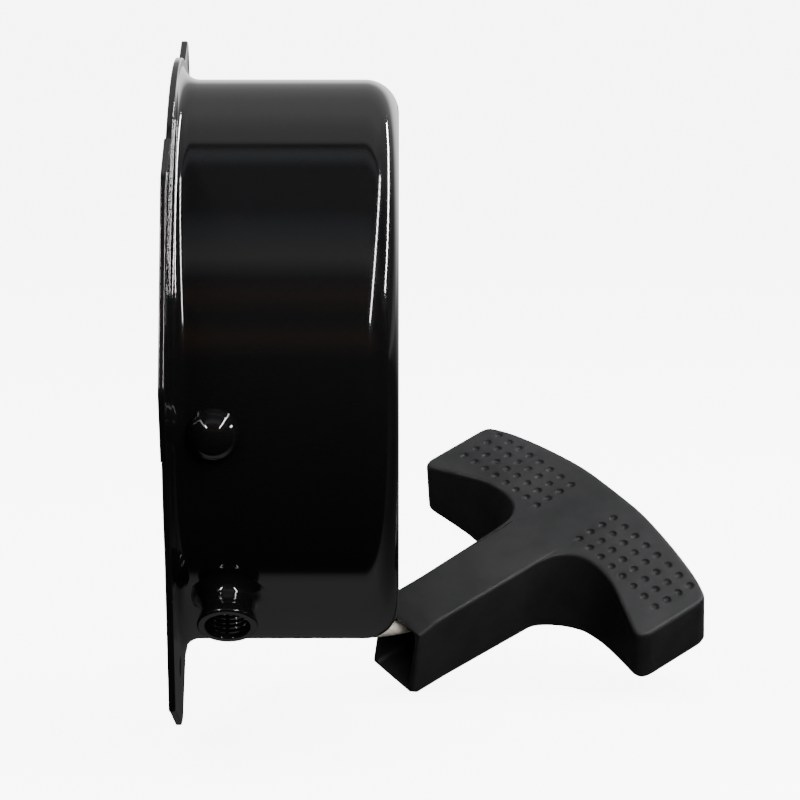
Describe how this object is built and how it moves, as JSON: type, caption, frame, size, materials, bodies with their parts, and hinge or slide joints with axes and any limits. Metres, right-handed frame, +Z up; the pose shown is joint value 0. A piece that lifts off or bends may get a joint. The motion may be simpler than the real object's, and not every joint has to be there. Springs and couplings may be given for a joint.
{
  "type": "recoil starter",
  "caption": "Pull-rope starter for a small engine: drawn steel cup with a four-lug flange, rope reel with spiral spring and pawl clutch inside, and a T-handle on its rope.",
  "frame": {"origin": "centre of the mounting flange's seat, on the reel's axis", "axes": "+X along the reel's axis from the flange's seat to the closed end, +Z up as the object is drawn, +Y to the side that the rope leaves"},
  "size_m": [0.1618, 0.2451, 0.2041],
  "materials": {
    "black_enamel": "gloss",
    "grip_plastic": "matte",
    "reel_plastic": "satin",
    "guide_plastic": "satin",
    "rope": "braided",
    "zinc_steel": "satin",
    "spring_steel": "satin",
    "pawl_steel": "satin",
    "bush_bronze": "satin",
    "liner": "polished"
  },
  "bodies": {
    "housing": {"housing_shell": "black_enamel", "side_spout": "black_enamel", "dome_rivet": "black_enamel", "rope_spout": "black_enamel", "rope_eyelet": "liner", "reel_post": "zinc_steel", "rope_run": "rope", "recoil_spring": "spring_steel", "thrust_washer": "zinc_steel", "friction_spring": "spring_steel", "centre_screw": "zinc_steel"},
    "reel": {"rope_reel": "reel_plastic", "reel_bush": "bush_bronze", "rope_windings": "rope", "reel_knot": "rope", "spring_cover": "zinc_steel", "pawl_pin_a": "zinc_steel", "pawl_pin_b": "zinc_steel", "pawl_spring_a": "spring_steel", "pawl_spring_b": "spring_steel"},
    "guide": {"ratchet_guide": "guide_plastic"},
    "pawl_a": {"pawl_a": "pawl_steel"},
    "pawl_b": {"pawl_b": "pawl_steel"},
    "handle": {"handle_grip": "grip_plastic", "knot_retainer": "zinc_steel", "handle_knot": "rope", "handle_cap": "grip_plastic", "rope_lead": "rope"}
  },
  "joints": [
    {"name": "handle_pull", "type": "slide", "parent": "housing", "child": "handle", "axis": [0.7789, 0.4905, 0.3907], "range_m": [0, 0.75], "stiffness_N_per_m": 20, "springref_m": -0.25, "deforming": ["rope_lead", "rope_run"]},
    {"name": "reel_turn", "type": "hinge", "parent": "housing", "child": "reel", "pos_m": [0.045, 0, 0], "axis": [-1, 0, 0], "range_deg": [0, 925], "deforming": ["recoil_spring", "rope_windings"]},
    {"name": "guide_turn", "type": "hinge", "parent": "reel", "child": "guide", "pos_m": [0.03, 0, 0], "axis": [1, 0, 0], "range_deg": [0, 28], "stiffness_Nm_per_rad": 0.02, "springref_deg": -17.19},
    {"name": "pawl_a_swing", "type": "hinge", "parent": "reel", "child": "pawl_a", "pos_m": [0.035, 0.024, 0], "axis": [1, 0, 0], "range_deg": [-23.5, 0], "deforming": ["pawl_spring_a"]},
    {"name": "pawl_b_swing", "type": "hinge", "parent": "reel", "child": "pawl_b", "pos_m": [0.035, -0.024, 0], "axis": [1, 0, 0], "range_deg": [-23.5, 0], "deforming": ["pawl_spring_b"]}
  ],
  "couplings": [
    {"joint": "reel_turn", "follows": "handle_pull", "rad_per_m": 21.39},
    {"joint": "pawl_a_swing", "follows": "guide_turn", "ratio": -0.83929},
    {"joint": "pawl_b_swing", "follows": "guide_turn", "ratio": -0.83929}
  ]
}
